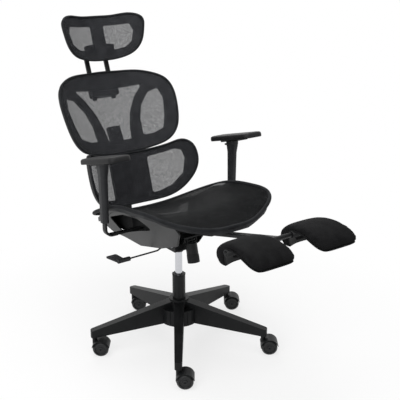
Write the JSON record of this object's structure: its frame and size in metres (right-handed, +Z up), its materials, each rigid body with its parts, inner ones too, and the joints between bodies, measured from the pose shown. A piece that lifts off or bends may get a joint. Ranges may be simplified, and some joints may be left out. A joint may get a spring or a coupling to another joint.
{
  "type": "reclining office chair with footrest",
  "caption": "Mesh office chair on a star base, in its reclined pose, with a headrest, lumbar wing, adjustable arms and a slide-out footrest with arched calf pads.",
  "frame": {"origin": "on the floor under the gas-lift axis", "axes": "+Z up; the sitter faces -Y; the sitter's left is +X"},
  "size_m": [0.7295, 1.3072, 1.2217],
  "materials": {
    "base_nylon": "fine moulded texture",
    "tube_paint": "satin black",
    "bright_rod": "polished",
    "wheel_nylon": "satin",
    "pin_steel": "plain",
    "plate_paint": "satin powder coat",
    "spring_steel": "black",
    "lever_steel": "black",
    "grip_plastic": "satin",
    "tub_plastic": "fine texture",
    "frame_plastic": "fine texture",
    "seat_mesh": "woven mesh",
    "back_mesh": "open woven mesh",
    "arm_plastic": "fine texture",
    "pad_skin": "soft foam skin",
    "calf_fabric": "knitted cloth"
  },
  "bodies": {
    "base": {"star_base": "base_nylon", "lift_cylinder": "tube_paint", "lift_bush": "wheel_nylon"},
    "caster_1": {"caster_hood_1": "wheel_nylon", "caster_pins_1": "pin_steel"},
    "wheels_1": {"caster_wheels_1": "wheel_nylon"},
    "caster_2": {"caster_hood_2": "wheel_nylon", "caster_pins_2": "pin_steel"},
    "wheels_2": {"caster_wheels_2": "wheel_nylon"},
    "caster_3": {"caster_hood_3": "wheel_nylon", "caster_pins_3": "pin_steel"},
    "wheels_3": {"caster_wheels_3": "wheel_nylon"},
    "caster_4": {"caster_hood_4": "wheel_nylon", "caster_pins_4": "pin_steel"},
    "wheels_4": {"caster_wheels_4": "wheel_nylon"},
    "caster_5": {"caster_hood_5": "wheel_nylon", "caster_pins_5": "pin_steel"},
    "wheels_5": {"caster_wheels_5": "wheel_nylon"},
    "lift": {"lift_rod": "bright_rod"},
    "mechanism": {"mech_housing": "plate_paint", "tilt_shaft": "pin_steel"},
    "lever": {"height_lever_rod": "lever_steel", "height_lever_grip": "grip_plastic"},
    "seat": {"tilt_plate": "plate_paint", "back_shaft": "pin_steel", "spring_cup": "plate_paint", "tension_spring": "spring_steel", "seat_frame": "frame_plastic", "seat_mesh": "seat_mesh", "seat_shell": "tub_plastic", "footrest_channel": "plate_paint", "arm_bracket_left": "plate_paint", "arm_bracket_right": "plate_paint"},
    "knob": {"tension_knob": "grip_plastic"},
    "back": {"back_spine": "plate_paint"},
    "upper_back": {"back_carrier": "frame_plastic", "back_frame": "frame_plastic", "back_mesh": "back_mesh", "headrest_guide": "frame_plastic"},
    "lumbar": {"lumbar_arm": "frame_plastic", "lumbar_frame": "frame_plastic", "lumbar_mesh": "back_mesh"},
    "head_posts": {"headrest_posts": "plate_paint"},
    "headrest": {"headrest_bracket": "frame_plastic", "headrest_frame": "frame_plastic", "headrest_mesh": "back_mesh"},
    "footrest": {"footrest_bar": "plate_paint"},
    "calf_rest_left": {"footrest_shell_left": "frame_plastic", "footrest_pad_left": "calf_fabric"},
    "arm_left": {"arm_sleeve_left": "arm_plastic"},
    "trigger_left": {"arm_trigger_left": "grip_plastic"},
    "turntable_left": {"pad_base_left": "grip_plastic"},
    "arm_pad_left": {"arm_pad_left": "pad_skin"},
    "calf_rest_right": {"footrest_shell_right": "frame_plastic", "footrest_pad_right": "calf_fabric"},
    "arm_right": {"arm_sleeve_right": "arm_plastic"},
    "trigger_right": {"arm_trigger_right": "grip_plastic"},
    "turntable_right": {"pad_base_right": "grip_plastic"},
    "arm_pad_right": {"arm_pad_right": "pad_skin"}
  },
  "joints": [
    {"name": "height", "type": "slide", "parent": "base", "child": "lift", "axis": [0, 0, 1], "range_m": [-0.09, 0.005]},
    {"name": "swivel", "type": "hinge", "parent": "lift", "child": "mechanism", "pos_m": [0, 0, 0.4], "axis": [0, 0, 1], "continuous": true},
    {"name": "tilt", "type": "hinge", "parent": "mechanism", "child": "seat", "pos_m": [0, -0.04, 0.43], "axis": [1, 0, 0], "range_deg": [0, 14]},
    {"name": "lift_lever", "type": "hinge", "parent": "mechanism", "child": "lever", "pos_m": [-0.041, 0, 0.418], "axis": [0, 1, 0], "range_deg": [0, 5], "stiffness_Nm_per_rad": 20, "springref_deg": -1.72},
    {"name": "tension", "type": "hinge", "parent": "seat", "child": "knob", "pos_m": [0, -0.0914, 0.40159], "axis": [0, 0.2419, 0.9703], "continuous": true},
    {"name": "recline", "type": "hinge", "parent": "seat", "child": "back", "pos_m": [0, 0.08274, 0.40558], "axis": [-1, 0, 0], "range_deg": [0, 20]},
    {"name": "back_height", "type": "slide", "parent": "back", "child": "upper_back", "axis": [0, 0.4848, 0.8746], "range_m": [0, 0.05]},
    {"name": "lumbar_rock", "type": "hinge", "parent": "back", "child": "lumbar", "pos_m": [0, 0.374, 0.6], "axis": [1, 0, 0], "range_deg": [-3, 3], "stiffness_Nm_per_rad": 120},
    {"name": "headrest_height", "type": "slide", "parent": "upper_back", "child": "head_posts", "axis": [0, 0.3584, 0.9336], "range_m": [-0.03, 0.04]},
    {"name": "headrest_tilt", "type": "hinge", "parent": "head_posts", "child": "headrest", "pos_m": [0, 0.58953, 1.07253], "axis": [1, 0, 0], "range_deg": [-18, 18]},
    {"name": "footrest_slide", "type": "slide", "parent": "seat", "child": "footrest", "axis": [0, -0.9703, 0.2419], "range_m": [-0.15, 0]},
    {"name": "calf_rest_turn_left", "type": "hinge", "parent": "footrest", "child": "calf_rest_left", "pos_m": [0.132, -0.55817, 0.60866], "axis": [1, 0, 0], "range_deg": [-35, 45]},
    {"name": "arm_height_left", "type": "slide", "parent": "seat", "child": "arm_left", "axis": [0, 0, 1], "range_m": [0, 0.07]},
    {"name": "arm_trigger_press_left", "type": "hinge", "parent": "arm_left", "child": "trigger_left", "pos_m": [0.289, 0.0615, 0.74], "axis": [1, 0, 0], "range_deg": [0, 10], "stiffness_Nm_per_rad": 0.5, "springref_deg": -5.73},
    {"name": "arm_pad_turn_left", "type": "hinge", "parent": "arm_left", "child": "turntable_left", "pos_m": [0.289, 0.043, 0.76], "axis": [0, 0.2419, 0.9703], "range_deg": [-20, 20]},
    {"name": "arm_pad_slide_left", "type": "slide", "parent": "turntable_left", "child": "arm_pad_left", "axis": [0, -0.9703, 0.2419], "range_m": [-0.025, 0.025]},
    {"name": "calf_rest_turn_right", "type": "hinge", "parent": "footrest", "child": "calf_rest_right", "pos_m": [-0.132, -0.55817, 0.60866], "axis": [1, 0, 0], "range_deg": [-35, 45]},
    {"name": "arm_height_right", "type": "slide", "parent": "seat", "child": "arm_right", "axis": [0, 0, 1], "range_m": [0, 0.07]},
    {"name": "arm_trigger_press_right", "type": "hinge", "parent": "arm_right", "child": "trigger_right", "pos_m": [-0.289, 0.0615, 0.74], "axis": [1, 0, 0], "range_deg": [0, 10], "stiffness_Nm_per_rad": 0.5, "springref_deg": -5.73},
    {"name": "arm_pad_turn_right", "type": "hinge", "parent": "arm_right", "child": "turntable_right", "pos_m": [-0.289, 0.043, 0.76], "axis": [0, 0.2419, 0.9703], "range_deg": [-20, 20]},
    {"name": "arm_pad_slide_right", "type": "slide", "parent": "turntable_right", "child": "arm_pad_right", "axis": [0, -0.9703, 0.2419], "range_m": [-0.025, 0.025]},
    {"name": "caster_swivel_1", "type": "hinge", "parent": "base", "child": "caster_1", "pos_m": [-0.19483, -0.2762, 0.09], "axis": [0, 0, 1], "continuous": true},
    {"name": "wheel_spin_1", "type": "hinge", "parent": "caster_1", "child": "wheels_1", "pos_m": [-0.17542, -0.2903, 0.03], "axis": [0.5878, 0.809, 0], "continuous": true},
    {"name": "caster_swivel_2", "type": "hinge", "parent": "base", "child": "caster_2", "pos_m": [0.20247, -0.27065, 0.09], "axis": [0, 0, 1], "continuous": true},
    {"name": "wheel_spin_2", "type": "hinge", "parent": "caster_2", "child": "wheels_2", "pos_m": [0.22189, -0.28475, 0.03], "axis": [0.5878, 0.809, 0], "continuous": true},
    {"name": "caster_swivel_3", "type": "hinge", "parent": "base", "child": "caster_3", "pos_m": [0.31997, 0.10893, 0.09], "axis": [0, 0, 1], "continuous": true},
    {"name": "wheel_spin_3", "type": "hinge", "parent": "caster_3", "child": "wheels_3", "pos_m": [0.33938, 0.09482, 0.03], "axis": [0.5878, 0.809, 0], "continuous": true},
    {"name": "caster_swivel_4", "type": "hinge", "parent": "base", "child": "caster_4", "pos_m": [-0.00472, 0.33797, 0.09], "axis": [0, 0, 1], "continuous": true},
    {"name": "wheel_spin_4", "type": "hinge", "parent": "caster_4", "child": "wheels_4", "pos_m": [0.0147, 0.32386, 0.03], "axis": [0.5878, 0.809, 0], "continuous": true},
    {"name": "caster_swivel_5", "type": "hinge", "parent": "base", "child": "caster_5", "pos_m": [-0.32288, 0.09995, 0.09], "axis": [0, 0, 1], "continuous": true},
    {"name": "wheel_spin_5", "type": "hinge", "parent": "caster_5", "child": "wheels_5", "pos_m": [-0.30347, 0.08584, 0.03], "axis": [0.5878, 0.809, 0], "continuous": true}
  ]
}
